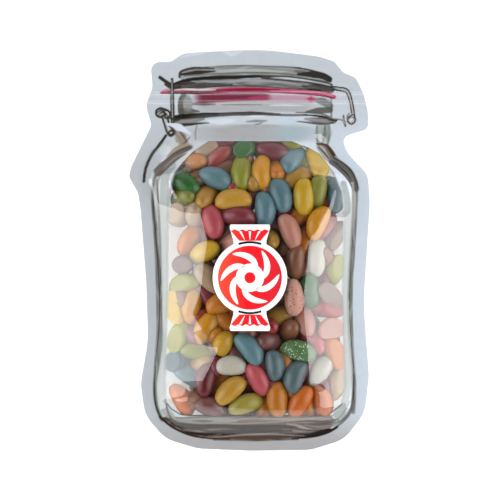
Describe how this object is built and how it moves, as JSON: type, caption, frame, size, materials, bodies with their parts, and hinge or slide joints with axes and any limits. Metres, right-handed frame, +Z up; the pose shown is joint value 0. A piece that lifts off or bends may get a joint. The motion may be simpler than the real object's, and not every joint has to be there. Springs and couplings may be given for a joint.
{
  "type": "jar-shaped pouch of jelly beans",
  "caption": "Resealable clear pouch cut and printed like a clip-top glass jar, filled with mixed jelly beans, with a round sweet label on the front.",
  "frame": {"origin": "middle of the bounding box at the level the pouch rests on", "axes": "+Y from the jar's base to its lid end, +X to the right as the printed front is seen, +Z up out of the printed front"},
  "size_m": [0.1143, 0.191, 0.0238],
  "materials": {
    "pouch": "printed and clear laminated film, glossy",
    "label": "glossy printed sticker, red and white with small black marks"
  },
  "bodies": {
    "root": {"pouch": "pouch", "label": "label"}
  },
  "joints": []
}
